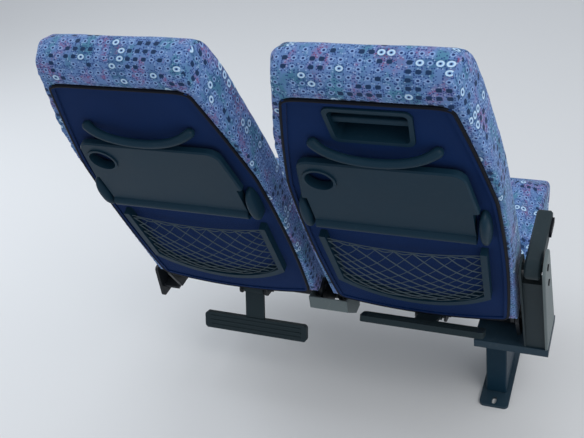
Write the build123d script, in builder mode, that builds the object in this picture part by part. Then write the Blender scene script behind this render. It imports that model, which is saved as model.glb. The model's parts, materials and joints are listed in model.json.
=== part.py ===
from build123d import *
import os
from math import cos, radians, sin

os.makedirs("parts", exist_ok=True)

# Double passenger seat of a long-distance bus: a window seat and an aisle seat
# on one frame, hung from the side wall at one end and standing on one leg at the other.
# Millimetres. Origin: centre of the aisle leg's foot, on the floor.
# +X towards the aisle, +Y the way the passenger faces, +Z up.

# Places of the seats
seat_pitch = 455.0
aisle_seat_x = -140.0
window_seat_x = aisle_seat_x - seat_pitch
centre_x = (window_seat_x + aisle_seat_x) / 2
seats = [
    {"side": "window", "x": window_seat_x, "footrest_down": True, "grip": False},
    {"side": "aisle", "x": aisle_seat_x, "footrest_down": False, "grip": True},
]

# Clearances
fit = 0.3
pin_play = 0.05
play = 5.1
through = 60.0

# Recline pivot, and the foot of the back's rear face behind and above it
pivot_y = -164.0
pivot_z = 372.0
back_foot_behind = 47.93
back_foot_above = 19.16

# Backrest: s runs down the back from its top edge, v runs forward from its rear face
back_lean = 22.0
back_length = 785.0
lean_sin = sin(radians(back_lean))
lean_cos = cos(radians(back_lean))
back_top_y = pivot_y - back_foot_behind - back_length * lean_sin
back_top_z = pivot_z + back_foot_above + back_length * lean_cos
pad_top_half = 162.0
pad_mid_half = 184.0
pad_mid_s = 130.0
pad_shoulder_half = 204.0
pad_shoulder_s = 270.0
pad_waist_half = 211.0
pad_waist_s = 430.0
pad_half = 215.0
pad_hip_rise = 165.0
pad_hip_s = back_length - pad_hip_rise
pad_low_half = 210.0
pad_corner_r = 34.0
pad_front_r = 20.0
front_edge_v = 75.0
pad_spare = 25.0
pad_spill = 2.0
crown_s = 34.0
crown_rear_v = 30.0
crown_front_v = 52.0
crown_mid_v = 75.0
crown_mid_s = 13.0
crown_back_v = 8.0
crown_back_s = 10.0
crown_low_s = 42.0
head_v = 94.0
head_s = 90.0
neck_v = 90.0
neck_s = 150.0
waist_v = 83.0
waist_s = 290.0
belly_v = 88.0
belly_s = 430.0
lumbar_v = 97.0
lumbar_s = 590.0
tail_v = 84.0
tail_overrun = 8.0
foot_turn = 20.0
trough_half = 152.0
trough_edge_v = 104.0
trough_mid_v = 68.0

# Back carrier and cheeks
pin_r = 8.0
boss_r = 24.0
arm_r = 20.0
arm_inner = 190.0
arm_outer = 198.0
cheek_inner = 200.5
cheek_outer = 208.5
cheek_front_y = 200.0
cheek_rail = 11.0
cheek_foot_z = 296.0
cheek_knee_y = pivot_y + 34.0
cheek_heel_y = pivot_y + 14.0
bridge_length = 300.0
bridge_t = 6.0
base_plate_t = 5.0
base_plate_v = 44.0
base_plate_depth = 56.0
arm_root = 24.0

# Rear panel
panel_top_s = 70.0
panel_top_half = 140.0
panel_upper_s = 209.0
panel_upper_half = 172.0
panel_shoulder_s = 320.0
panel_shoulder_half = 193.0
panel_waist_s = 510.0
panel_waist_half = 199.0
panel_foot_gap = 13.0
panel_bottom_s = back_length - panel_foot_gap
panel_low_half = 188.0
panel_sag = 25.0
panel_sag_s = panel_bottom_s + panel_sag
panel_depth = 7.7
piping_width = 7.0
piping_height = 3.0

# Recessed grip of the aisle seat
grip_top_s = 83.0
grip_bottom_s = 171.0
grip_top_half = 77.0
grip_bottom_half = 72.0
grip_corner_r = 14.0
grip_depth = 37.5
grip_wall = 8.0
grip_floor = 3.5
grip_lip = 4.0
grip_bar_s = 124.0
grip_bar_v = 11.0
grip_bar_depth = 9.0
grip_bar_height = 14.0
grip_bar_half = 68.0
grip_bar_corner_r = 3.0

# Grab handle
handle_half = 121.0
handle_end_s = 171.0
handle_end_v = 4.0
handle_mid_s = 201.0
handle_mid_v = -42.0
handle_r = 9.3
handle_facets = 14

# Frame tubes
tube = 40.0
tube_wall = 3.0
tube_corner = 5.0
front_tube_y = 180.0
rear_tube_y = -90.0
tube_z = 310.0
tube_top = tube_z + tube / 2
tube_bottom = tube_z - tube / 2
tube_back = rear_tube_y - tube / 2
wall_face_x = -852.0
tube_end_x = 76.0
end_cap_t = 3.0

# Wall bracket
wall_y = 30.0
wall_z = 306.0
wall_length = 380.0
wall_height = 96.0
wall_t = 8.0
wall_corner_r = 10.0
wall_bolt_r = 5.5
wall_bolt_dy = 330.0
wall_bolt_dz = 64.0
ledge_width = 44.0
ledge_t = 6.0
gusset_t = 5.0
gusset_drop = 22.0
gusset_reach = 40.0

# Cushions and pans
cushion_half = 216.0
cushion_rear_y = -124.0
cushion_front_y = 288.0
cushion_bottom_z = 345.0
cushion_rear_top_z = 434.0
cushion_front_top_z = 462.0
cushion_roll = 60.0
cushion_chin = 26.0
cushion_chin_rise = 40.0
cushion_brow_drop = 30.0
cushion_edge_r = 12.0
pan_half = 196.0
pan_rear_y = -112.0
pan_front_y = 262.0
pan_corner_r = 18.0
sheet = 3.0
pan_rib_x = 110.0
pan_rib_length = 200.0
pan_rib_width = 12.0

# Tray
tray_pivot_s = 418.0
tray_pivot_v = -18.0
tray_barrel_r = 12.0
tray_top_s = 217.0
tray_top_half = 150.0
tray_step_s = 332.0
tray_step_half = 166.0
tray_corner_r = 26.0
tray_rear_v = -22.0
tray_front_v = -6.0
tray_lower_half = 155.0
tray_edge_r = 3.0
ear_gap = 5.0
ear_inner = tray_lower_half + ear_gap
ear_width = 22.0
ear_outer = ear_inner + ear_width
ear_top_s = 340.0
ear_bottom_s = 436.0
ear_r = 15.0
ear_edge_r = 6.0
tray_pin_r = 5.0
tray_pin_length = 17.0
tray_hole_depth = 13.0
cup_x = -115.0
cup_s = 267.0
cup_r = 27.0
cup_rim = 5.0
cup_rim_height = 3.0

# Pocket net
net_top_s = 480.0
net_corner_s = 658.0
net_mid_s = 588.0
net_sag_s = 722.0
net_top_half = 168.0
net_low_half = 164.0
net_rim = 13.0
net_height = 18.0
net_stand_off = 12.0
cord_t = 3.0
cord_pitch = 44.0
cord_angle = 32.0
cord_inset = 13.6
net_top_sag = 14.0

# Footrests
foot_pivot_y = -132.0
foot_pivot_z = 306.0
foot_reach = 102.0
foot_down_angle = 71.0
foot_up_angle = 27.5
foot_arm_half = 25.0
foot_arm_t = 8.0
foot_hub_r = 11.0
foot_bar_half = 141.0
foot_bar_depth = 44.0
foot_bar_t = 14.0
foot_bar_corner_r = 9.0
foot_rib_t = 1.5
foot_rib_pitch = 12.0
foot_rib_width = 4.0
foot_rib_half = 126.0
foot_pin_r = 6.0
foot_ear_x = 32.0
foot_ear_t = 5.0
foot_ear_r = 14.0
foot_plate_half = 42.0
foot_plate_t = 5.0
foot_plate_z0 = 288.0
foot_plate_z1 = 328.0

# Armrest and what carries it
rest_pivot_y = -272.0
rest_pivot_z = 596.0
rest_r = 24.0
rest_front_y = -95.0
rest_edge_r = 4.0
rest_nose = 20.0
rest_nose_rise = 3.0
rest_taper = 6.0
rest_pin_r = 7.0
stand_x0 = 80.5
stand_t = 4.0
stand_x1 = stand_x0 + stand_t
rest_inner_x = stand_x1 + play
rest_width = 31.4
rest_outer_x = rest_inner_x + rest_width
cover_x0 = rest_outer_x + play
cover_t = 6.0
cover_x1 = cover_x0 + cover_t
cover_neck = (32.0, 22.0)
cover_crown = 15.0
cover_nape = (12.0, 8.0)
cover_edge_r = 3.0
stand_front_y = -70.0
stand_rear_y = -178.0
stand_neck = (18.0, 16.0)
housing_front = (60.0, -66.0)
housing_step = (36.0, -46.0)
housing_rear = (4.0, -46.0)
housing_set_in = 8.0
cap_r = 7.0
cap_t = 2.0
cap_upper_rise = 4.0
cap_lower = (33.0, -60.0)
paddle_length = 56.0
paddle_height = 16.0
paddle_corner_r = 5.0
paddle_set_back = 45.0
paddle_rise = 4.0
paddle_t = 4.8

# Leg
head_top_z = tube_bottom
head_sheet = 5.0
head_depth = 20.0
head_half = 32.0
head_y0 = -180.0
head_y1 = 210.0
wing_front_y = -60.0
leg_half = 22.0
leg_low_y0 = -60.0
leg_low_y1 = 66.0
leg_high_y0 = -70.0
leg_high_y1 = 120.0
leg_skin = 3.0
leg_cover_r = 5.0
leg_cover_top_z = 268.0
foot_t = 8.0
foot_width = 72.0
foot_length = 222.0
foot_corner_r = 12.0
foot_slot_y = 93.0
foot_slot_length = 24.0
foot_slot_width = 11.0

# Centre cover
cover_half = 47.0
cover_wall = 3.0
cover_rear_y = pivot_y - 42.0
cover_top_z = pivot_z + 2.0
cover_knee_z = pivot_z - 32.0
cover_floor_y0 = pivot_y + 12.0
cover_floor_y1 = pivot_y + 42.0
cover_front_z = pivot_z - 50.0
cover_front_y = pivot_y - 4.0


def back_point(x, s, v):
    # A point given across the seat, down the back and forward of the rear face
    y = back_top_y + s * lean_sin + v * lean_cos
    z = back_top_z - s * lean_cos + v * lean_sin
    return (x, y, z)


def face_plane(x, v):
    # Sketch plane on the back: local x across, local y up the back, normal rearward
    return Plane(origin=back_point(x, 0, v), x_dir=(1, 0, 0), z_dir=(0, -lean_cos, -lean_sin))


def cross_plane(x, s):
    # Sketch plane square to the back's length: local x across, local y forward
    return Plane(origin=back_point(x, s, 0), x_dir=(1, 0, 0), z_dir=(0, -lean_sin, lean_cos))


def side_plane(x):
    # Sketch plane across the seat: local x forward, local y up, normal towards the aisle
    return Plane(origin=(x, 0, 0), x_dir=(0, 1, 0), z_dir=(1, 0, 0))


def back_side_plane(x):
    # Side plane of the leaning back: local x forward of the rear face, local y up the back
    return Plane(origin=back_point(x, 0, 0), x_dir=(0, lean_cos, lean_sin), z_dir=(1, 0, 0))


def depth_of(edge):
    # How far forward of the back's rear face the middle of an edge lies
    point = edge.center()
    return (point.Y - back_top_y) * lean_cos + (point.Z - back_top_z) * lean_sin


def pad_outline():
    # Back pad outline seen from behind: narrow head, full shoulders, straight flanks
    flank = [
        (pad_top_half, pad_spill),
        (pad_mid_half, -pad_mid_s),
        (pad_shoulder_half, -pad_shoulder_s),
        (pad_waist_half, -pad_waist_s),
        (pad_half, -pad_hip_s),
        (pad_low_half, -back_length),
    ]
    with BuildLine() as outline:
        Line((-pad_top_half, pad_spill), flank[0])
        Spline(*flank)
        Line(flank[-1], (-pad_low_half, -back_length))
        Spline(*[(-x, y) for x, y in flank[::-1]])
    return make_face(outline.edges())


def pad_profile():
    # Back pad seen from the side: head roll, waist and lumbar swell
    tail_s = back_length + tail_overrun
    with BuildLine() as outline:
        rear = Line((tail_overrun, -tail_s), (0, -back_length + foot_turn))
        rear_up = Line(rear @ 1, (0, -crown_s))
        crown_rear = ThreePointArc(rear_up @ 1, (crown_back_v, -crown_back_s), (crown_rear_v, 0))
        crown = Line(crown_rear @ 1, (crown_front_v, 0))
        crown_front = ThreePointArc(crown @ 1, (crown_mid_v, -crown_mid_s), (neck_v, -crown_low_s))
        head = ThreePointArc(crown_front @ 1, (head_v, -head_s), (neck_v, -neck_s))
        waist = ThreePointArc(head @ 1, (waist_v, -waist_s), (belly_v, -belly_s))
        lumbar = ThreePointArc(waist @ 1, (lumbar_v, -lumbar_s), (tail_v, -tail_s))
        Line(lumbar @ 1, rear @ 0)
    return make_face(outline.edges())


def panel_outline(grow):
    # Rear panel outline as a face in the sketch being built
    with BuildLine() as outline:
        top = Line(
            (-panel_top_half - grow, -panel_top_s + grow),
            (panel_top_half + grow, -panel_top_s + grow),
        )
        right = ThreePointArc(
            top @ 1,
            (panel_upper_half + grow, -panel_upper_s),
            (panel_shoulder_half + grow, -panel_shoulder_s),
        )
        right_low = ThreePointArc(
            right @ 1,
            (panel_waist_half + grow, -panel_waist_s),
            (panel_low_half + grow, -panel_bottom_s - grow),
        )
        sag = ThreePointArc(
            right_low @ 1,
            (0, -panel_sag_s - grow),
            (-panel_low_half - grow, -panel_bottom_s - grow),
        )
        left_low = ThreePointArc(
            sag @ 1,
            (-panel_waist_half - grow, -panel_waist_s),
            (-panel_shoulder_half - grow, -panel_shoulder_s),
        )
        ThreePointArc(left_low @ 1, (-panel_upper_half - grow, -panel_upper_s), top @ 0)
    return make_face(outline.edges())


def grip_outline(inset):
    # Recessed grip outline, narrower at the bottom
    return Polygon(
        (-grip_top_half + inset, -grip_top_s - inset),
        (-grip_bottom_half + inset, -grip_bottom_s + inset),
        (grip_bottom_half - inset, -grip_bottom_s + inset),
        (grip_top_half - inset, -grip_top_s - inset),
        align=None,
    )


def net_outline(inset):
    # Pocket outline inside the net frame's outer edge by an inset, open end at the top
    top_y = -net_top_s + (1 if inset else 0)
    with BuildLine() as outline:
        left = Line((-net_top_half + inset, top_y), (-net_low_half + inset, -net_corner_s + inset * 0.6))
        sag = ThreePointArc(
            left @ 1,
            (0, -net_sag_s + inset),
            (net_low_half - inset, -net_corner_s + inset * 0.6),
        )
        right = Line(sag @ 1, (net_top_half - inset, top_y))
        Line(right @ 1, left @ 0)
    return make_face(outline.edges())


for seat in seats:
    side = seat["side"]
    cx = seat["x"]

    # Back pad: outline and side profile crossed, a shallow trough between the bolsters,
    # rolled edges and a recess for the rear panel
    with BuildPart() as back_pad:
        with BuildSketch(face_plane(cx, lumbar_v + pad_spare)) as outline_sketch:
            pad_outline()
            fillet(outline_sketch.vertices().sort_by(Axis.Y)[-2:], pad_corner_r)
        extrude(amount=lumbar_v + 2 * pad_spare)
        with BuildSketch(back_side_plane(cx - pad_half - pad_spare)):
            pad_profile()
        extrude(amount=2 * (pad_half + pad_spare), mode=Mode.INTERSECT)
        long_edges = [edge for edge in back_pad.edges() if abs(edge.center().X - cx) > pad_top_half / 2]
        long_edges = [edge for edge in long_edges if edge.center().Z < back_top_z - crown_s]
        fillet([edge for edge in long_edges if depth_of(edge) > front_edge_v], pad_front_r)
        with BuildSketch(cross_plane(cx, -pad_spare)):
            with BuildLine():
                trough = ThreePointArc(
                    (-trough_half, trough_edge_v),
                    (0, trough_mid_v),
                    (trough_half, trough_edge_v),
                )
                Line(trough @ 1, trough @ 0)
            make_face()
        extrude(amount=-back_length - 3 * pad_spare, mode=Mode.SUBTRACT)
        with BuildSketch(face_plane(cx, panel_depth + fit)):
            panel_outline(fit)
        extrude(amount=through, mode=Mode.SUBTRACT)
        if seat["grip"]:
            with BuildSketch(face_plane(cx, grip_depth + fit)) as grip_pocket:
                grip_outline(-fit)
                fillet(grip_pocket.vertices(), grip_corner_r)
            extrude(amount=through, mode=Mode.SUBTRACT)
    back_pad.part.label = side + "_back_pad"
    export_step(back_pad.part, "parts/" + side + "_back_pad.step")

    # Rear panel: flush board with a raised piping bead round its edge
    with BuildPart() as rear_panel:
        with BuildSketch(face_plane(cx, panel_depth)):
            panel_outline(0)
        extrude(amount=panel_depth)
        with BuildSketch(face_plane(cx, 0)):
            panel_outline(0)
            with BuildSketch(mode=Mode.PRIVATE) as inner:
                panel_outline(-piping_width)
            add(inner.sketch, mode=Mode.SUBTRACT)
        extrude(amount=piping_height)
        if seat["grip"]:
            with BuildSketch(face_plane(cx, 2 * panel_depth)) as grip_window:
                grip_outline(-fit)
                fillet(grip_window.vertices(), grip_corner_r)
            extrude(amount=through, mode=Mode.SUBTRACT)
    rear_panel.part.label = side + "_rear_panel"
    export_step(rear_panel.part, "parts/" + side + "_rear_panel.step")

    # Grab handle: a bowed round bar whose ends run into the panel
    with BuildPart() as grab_handle:
        left = back_point(cx - handle_half, handle_end_s, handle_end_v)
        middle = back_point(cx, handle_mid_s, handle_mid_v)
        right = back_point(cx + handle_half, handle_end_s, handle_end_v)
        with BuildLine() as bow:
            ThreePointArc(left, middle, right)
        with BuildSketch(Plane(origin=left, z_dir=bow.line % 0)):
            RegularPolygon(handle_r, handle_facets)
        sweep()
        with BuildSketch(face_plane(cx, through)):
            with Locations((0, -handle_end_s)):
                Rectangle(2 * (handle_half + through), 2 * through)
        extrude(amount=through, mode=Mode.SUBTRACT)
    grab_handle.part.label = side + "_grab_handle"
    export_step(grab_handle.part, "parts/" + side + "_grab_handle.step")

    # Net frame: three-sided rim, open at the top
    with BuildPart() as net_frame:
        with BuildSketch(face_plane(cx, 0)):
            net_outline(0)
            with BuildSketch(mode=Mode.PRIVATE) as inner:
                net_outline(net_rim)
            add(inner.sketch, mode=Mode.SUBTRACT)
        extrude(amount=net_height)
    net_frame.part.label = side + "_net_frame"
    export_step(net_frame.part, "parts/" + side + "_net_frame.step")

    # Pocket net: crossing cords inside the frame, with an edge cord that sags at the top
    with BuildPart() as net:
        with BuildSketch(face_plane(cx, -net_stand_off)) as cords:
            cord_reach = 2.5 * net_top_half
            for slope in (cord_angle, -cord_angle):
                for step in range(-4, 5):
                    with Locations(Location((step * cord_pitch, -net_mid_s), slope)):
                        Rectangle(cord_reach, cord_t)
            with BuildSketch(mode=Mode.PRIVATE) as opening:
                cord_top = -net_top_s - net_top_sag
                cord_low = -net_corner_s + 12
                with BuildLine():
                    o_left = Line(
                        (-net_top_half + cord_inset, cord_top),
                        (-net_low_half + cord_inset, cord_low),
                    )
                    o_sag = ThreePointArc(
                        o_left @ 1,
                        (0, -net_sag_s + cord_inset),
                        (net_low_half - cord_inset, cord_low),
                    )
                    o_right = Line(o_sag @ 1, (net_top_half - cord_inset, cord_top))
                    ThreePointArc(o_right @ 1, (0, cord_top - net_top_sag), o_left @ 0)
                make_face()
            add(opening.sketch, mode=Mode.INTERSECT)
            with BuildSketch(mode=Mode.PRIVATE) as edge_cord:
                add(opening.sketch)
                offset(opening.sketch, amount=-cord_t - 1, mode=Mode.SUBTRACT)
            add(edge_cord.sketch)
        extrude(amount=cord_t)
    net.part.label = side + "_pocket_net"
    export_step(net.part, "parts/" + side + "_pocket_net.step")

    # Tray hinge ears with the tray's pins
    for hand, sign in (("left", -1), ("right", 1)):
        with BuildPart() as ear:
            x_in = cx + sign * ear_inner
            with BuildSketch(back_side_plane(x_in)):
                with BuildLine():
                    base = Line((0, -ear_top_s), (0, -ear_bottom_s))
                    low = Line(base @ 1, (tray_pivot_v, -tray_pivot_s - ear_r))
                    nose = ThreePointArc(
                        low @ 1,
                        (tray_pivot_v - ear_r, -tray_pivot_s),
                        (tray_pivot_v - ear_r * 0.7, -tray_pivot_s + ear_r * 0.7),
                    )
                    Line(nose @ 1, base @ 0)
                make_face()
            extrude(amount=sign * (ear_outer - ear_inner))
            outer_face = ear.faces().sort_by(Axis.X)[-1 if sign > 0 else 0]
            fillet(sorted(outer_face.edges(), key=depth_of)[:3], ear_edge_r)
            with BuildSketch(back_side_plane(x_in)):
                with Locations((tray_pivot_v, -tray_pivot_s)):
                    Circle(tray_pin_r)
            extrude(amount=-sign * tray_pin_length)
        ear.part.label = side + "_tray_ear_" + hand
        export_step(ear.part, "parts/" + side + "_tray_ear_" + hand + ".step")

    # Tray: slanted sides, round cup hole with a rim, barrel at the hinge
    with BuildPart() as tray:
        with BuildSketch(face_plane(cx, tray_front_v)) as tray_face:
            Polygon(
                (-tray_top_half, -tray_top_s),
                (-tray_step_half, -tray_step_s),
                (-tray_lower_half, -tray_step_s),
                (-tray_lower_half, -tray_pivot_s),
                (tray_lower_half, -tray_pivot_s),
                (tray_lower_half, -tray_step_s),
                (tray_step_half, -tray_step_s),
                (tray_top_half, -tray_top_s),
                align=None,
            )
            fillet(tray_face.vertices().sort_by(Axis.Y)[-2:], tray_corner_r)
        extrude(amount=tray_front_v - tray_rear_v)
        rim_z = back_point(0, tray_step_s - 2, 0)[2] - 8
        rim_edges = tray.faces().sort_by(Axis.Y)[0].edges()
        chamfer([edge for edge in rim_edges if edge.center().Z > rim_z], tray_edge_r)
        with BuildSketch(back_side_plane(cx - tray_lower_half)):
            with Locations((tray_pivot_v, -tray_pivot_s)):
                Circle(tray_barrel_r)
        extrude(amount=2 * tray_lower_half)
        with BuildSketch(face_plane(cx, tray_rear_v)):
            with Locations((cup_x, -cup_s)):
                Circle(cup_r + cup_rim)
        extrude(amount=cup_rim_height)
        with BuildSketch(face_plane(cx, 0)):
            with Locations((cup_x, -cup_s)):
                Circle(cup_r)
        extrude(amount=through, mode=Mode.SUBTRACT)
        for sign in (-1, 1):
            with BuildSketch(back_side_plane(cx + sign * tray_lower_half)):
                with Locations((tray_pivot_v, -tray_pivot_s)):
                    Circle(tray_pin_r + pin_play)
            extrude(amount=-sign * tray_hole_depth, mode=Mode.SUBTRACT)
    tray.part.label = side + "_tray"
    export_step(tray.part, "parts/" + side + "_tray.step")

    # Back carrier: plate under the pad with two arms down to the recline pins
    with BuildPart() as carrier:
        with BuildSketch(cross_plane(cx, back_length + fit)):
            with Locations((0, base_plate_v)):
                Rectangle(2 * arm_outer, base_plate_depth)
        extrude(amount=-base_plate_t)
        for sign in (-1, 1):
            with BuildSketch(side_plane(cx + sign * arm_inner)):
                with BuildLine():
                    p_rear = back_point(0, back_length + fit + 1, base_plate_v - arm_root)
                    p_front = back_point(0, back_length + fit + 1, base_plate_v + arm_root)
                    a1 = Line((p_rear[1], p_rear[2]), (p_front[1], p_front[2]))
                    a2 = Line(a1 @ 1, (pivot_y + arm_r, pivot_z))
                    a3 = ThreePointArc(a2 @ 1, (pivot_y, pivot_z - arm_r), (pivot_y - arm_r, pivot_z))
                    Line(a3 @ 1, a1 @ 0)
                make_face()
            extrude(amount=sign * (arm_outer - arm_inner))
            with BuildSketch(side_plane(cx + sign * arm_outer)):
                with Locations((pivot_y, pivot_z)):
                    Circle(pin_r)
            extrude(amount=sign * (cheek_outer - arm_outer + 3))
    carrier.part.label = side + "_back_carrier"
    export_step(carrier.part, "parts/" + side + "_back_carrier.step")

    # Cushion: side profile with a rolled front edge
    with BuildPart() as cushion:
        with BuildSketch(side_plane(cx - cushion_half)) as profile:
            Polygon(
                (cushion_rear_y, cushion_bottom_z + fit),
                (cushion_front_y - cushion_chin, cushion_bottom_z + fit),
                (cushion_front_y, cushion_bottom_z + cushion_chin_rise),
                (cushion_front_y, cushion_front_top_z - cushion_brow_drop),
                (cushion_front_y - cushion_roll, cushion_front_top_z),
                (cushion_rear_y, cushion_rear_top_z),
                align=None,
            )
        extrude(amount=2 * cushion_half)
        fillet(cushion.edges().filter_by(Axis.X), cushion_edge_r)
        fillet(cushion.faces().filter_by(Axis.X).edges(), cushion_edge_r - 1)
    cushion.part.label = side + "_cushion"
    export_step(cushion.part, "parts/" + side + "_cushion.step")

    # Seat pan: pressed sheet with a turned-down rim and stiffening ribs, on the two tubes
    with BuildPart() as pan:
        pan_length = pan_front_y - pan_rear_y
        pan_mid_y = (pan_front_y + pan_rear_y) / 2
        with Locations((cx, pan_mid_y, (tube_top + cushion_bottom_z) / 2)):
            Box(2 * pan_half, pan_length, cushion_bottom_z - tube_top)
        fillet(pan.edges().filter_by(Axis.Z), pan_corner_r)
        offset(amount=-sheet, openings=pan.faces().sort_by(Axis.Z)[0])
        for rib_x in (-pan_rib_x, 0, pan_rib_x):
            with Locations((cx + rib_x, (front_tube_y + rear_tube_y) / 2, cushion_bottom_z - 2 * sheet)):
                Box(pan_rib_width, pan_rib_length, 2 * sheet)
    pan.part.label = side + "_seat_pan"
    export_step(pan.part, "parts/" + side + "_seat_pan.step")

    # Footrest bracket: plate on the rear tube with two ears
    with BuildPart() as foot_bracket:
        plate_y = tube_back - fit - foot_plate_t
        for sign in (-1, 1):
            with BuildSketch(side_plane(cx + sign * foot_ear_x)):
                with BuildLine():
                    b_upper = Line(
                        (plate_y + 1, foot_plate_z1 - 2),
                        (foot_pivot_y, foot_pivot_z + foot_ear_r),
                    )
                    b_nose = ThreePointArc(
                        b_upper @ 1,
                        (foot_pivot_y - foot_ear_r, foot_pivot_z),
                        (foot_pivot_y, foot_pivot_z - foot_ear_r),
                    )
                    b_lower = Line(b_nose @ 1, (plate_y + 1, foot_plate_z0))
                    Line(b_lower @ 1, b_upper @ 0)
                make_face()
                with Locations((foot_pivot_y, foot_pivot_z)):
                    Circle(foot_pin_r + pin_play, mode=Mode.SUBTRACT)
            extrude(amount=sign * foot_ear_t)
        with Locations((cx, plate_y + foot_plate_t / 2, (foot_plate_z0 + foot_plate_z1) / 2)):
            Box(2 * foot_plate_half, foot_plate_t, foot_plate_z1 - foot_plate_z0)
    foot_bracket.part.label = side + "_footrest_bracket"
    export_step(foot_bracket.part, "parts/" + side + "_footrest_bracket.step")

    # Footrest: flat central arm and a ribbed bar
    if seat["footrest_down"]:
        swing = 180 + foot_down_angle
    else:
        swing = 180 - foot_up_angle
    foot_plane = Plane(
        origin=(cx, foot_pivot_y, foot_pivot_z),
        x_dir=(1, 0, 0),
        z_dir=(0, -sin(radians(swing)), cos(radians(swing))),
    )
    with BuildPart() as footrest:
        with BuildSketch(foot_plane):
            with Locations((0, foot_reach / 2)):
                Rectangle(2 * foot_arm_half, foot_reach)
        extrude(amount=foot_arm_t / 2, both=True)
        with BuildSketch(foot_plane):
            with Locations((0, foot_reach)):
                RectangleRounded(2 * foot_bar_half, foot_bar_depth, foot_bar_corner_r)
        extrude(amount=foot_bar_t / 2, both=True)
        for rib_y in (-foot_rib_pitch, 0, foot_rib_pitch):
            with BuildSketch(foot_plane):
                with Locations((0, foot_reach + rib_y)):
                    Rectangle(2 * foot_rib_half, foot_rib_width)
            extrude(amount=foot_bar_t / 2 + foot_rib_t, both=True)
        with BuildSketch(side_plane(cx - foot_ear_x - foot_ear_t)):
            with Locations((foot_pivot_y, foot_pivot_z)):
                Circle(foot_pin_r)
        extrude(amount=2 * (foot_ear_x + foot_ear_t))
        with BuildSketch(side_plane(cx - foot_arm_half)):
            with Locations((foot_pivot_y, foot_pivot_z)):
                Circle(foot_hub_r)
        extrude(amount=2 * foot_arm_half)
    footrest.part.label = side + "_footrest"
    export_step(footrest.part, "parts/" + side + "_footrest.step")

# Recessed grip in the aisle seat's rear panel: tub with a rim and a cross bar
with BuildPart() as head_grip:
    with BuildSketch(face_plane(aisle_seat_x, grip_depth)) as tub:
        grip_outline(0)
        fillet(tub.vertices(), grip_corner_r)
    extrude(amount=grip_depth + grip_lip)
    with BuildSketch(face_plane(aisle_seat_x, grip_depth - grip_floor)) as hollow:
        grip_outline(grip_wall)
        fillet(hollow.vertices(), grip_corner_r - grip_wall / 2)
    extrude(amount=through, mode=Mode.SUBTRACT)
    with BuildSketch(back_side_plane(aisle_seat_x - grip_bar_half)):
        with Locations((grip_bar_v, -grip_bar_s)):
            RectangleRounded(grip_bar_depth, grip_bar_height, grip_bar_corner_r)
    extrude(amount=2 * grip_bar_half)
head_grip.part.label = "aisle_head_grip"
export_step(head_grip.part, "parts/aisle_head_grip.step")

# Two transverse frame tubes, closed at the aisle end
tubes = [{"name": "front_tube", "y": front_tube_y}, {"name": "rear_tube", "y": rear_tube_y}]
for row in tubes:
    with BuildPart() as beam:
        with BuildSketch(side_plane(wall_face_x)):
            with Locations((row["y"], tube_z)):
                RectangleRounded(tube, tube, tube_corner)
        extrude(amount=tube_end_x - wall_face_x)
        with BuildSketch(side_plane(wall_face_x)):
            with Locations((row["y"], tube_z)):
                RectangleRounded(tube - 2 * tube_wall, tube - 2 * tube_wall, tube_corner - tube_wall)
        extrude(amount=tube_end_x - wall_face_x - end_cap_t, mode=Mode.SUBTRACT)
    beam.part.label = row["name"]
    export_step(beam.part, "parts/" + row["name"] + ".step")

# Cheek profile: a rail along the tubes that rises to the recline boss
cheek_points = [
    (cheek_front_y, tube_top),
    (cheek_front_y, tube_top + cheek_rail),
    (cheek_knee_y, tube_top + cheek_rail),
    (pivot_y + boss_r * 0.8, pivot_z + boss_r * 0.6),
]
cheek_low = [
    (pivot_y - boss_r * 0.8, pivot_z - boss_r * 0.6),
    (cheek_heel_y, cheek_foot_z),
    (tube_back - fit, cheek_foot_z),
    (tube_back - fit, tube_top),
]


def cheek(x0):
    # One cheek plate, with the hole for the recline pin
    with BuildSketch(side_plane(x0)) as profile:
        with BuildLine():
            upper = Polyline(*cheek_points)
            boss = ThreePointArc(upper @ 1, (pivot_y - boss_r * 0.6, pivot_z + boss_r * 0.8), cheek_low[0])
            lower = Polyline(*cheek_low)
            Line(lower @ 1, upper @ 0)
        make_face()
        with Locations((pivot_y, pivot_z)):
            Circle(pin_r + pin_play, mode=Mode.SUBTRACT)
    return extrude(profile.sketch, amount=cheek_outer - cheek_inner)


with BuildPart() as window_bracket:
    cheek(window_seat_x - cheek_outer)
window_bracket.part.label = "window_side_bracket"
export_step(window_bracket.part, "parts/window_side_bracket.step")

with BuildPart() as aisle_bracket:
    cheek(aisle_seat_x + cheek_inner)
aisle_bracket.part.label = "aisle_side_bracket"
export_step(aisle_bracket.part, "parts/aisle_side_bracket.step")

with BuildPart() as centre_bracket:
    cheek(window_seat_x + cheek_inner)
    cheek(aisle_seat_x - cheek_outer)
    with Locations((centre_x, (front_tube_y + rear_tube_y) / 2, tube_top + bridge_t / 2)):
        Box(seat_pitch - 2 * cheek_inner, bridge_length, bridge_t)
centre_bracket.part.label = "centre_bracket"
export_step(centre_bracket.part, "parts/centre_bracket.step")

# Wall bracket: bolted plate with a ledge and three gussets under the tubes
with BuildPart() as wall_bracket:
    with BuildSketch(side_plane(wall_face_x - wall_t)) as wall_plate:
        with Locations((wall_y, wall_z)):
            RectangleRounded(wall_length, wall_height, wall_corner_r)
        with Locations((wall_y, wall_z)):
            with GridLocations(wall_bolt_dy, wall_bolt_dz, 2, 2):
                Circle(wall_bolt_r, mode=Mode.SUBTRACT)
    extrude(amount=wall_t)
    with Locations((wall_face_x + ledge_width / 2, wall_y, tube_bottom - ledge_t / 2)):
        Box(ledge_width, wall_length - 2 * wall_corner_r, ledge_t)
    for gusset_y in (rear_tube_y, wall_y, front_tube_y):
        gusset_top = (wall_face_x, gusset_y, tube_bottom - ledge_t)
        with BuildSketch(Plane(origin=gusset_top, x_dir=(1, 0, 0), z_dir=(0, -1, 0))):
            Polygon((0, 0), (gusset_reach, 0), (0, -gusset_drop), align=None)
        extrude(amount=gusset_t)
wall_bracket.part.label = "wall_bracket"
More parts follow.
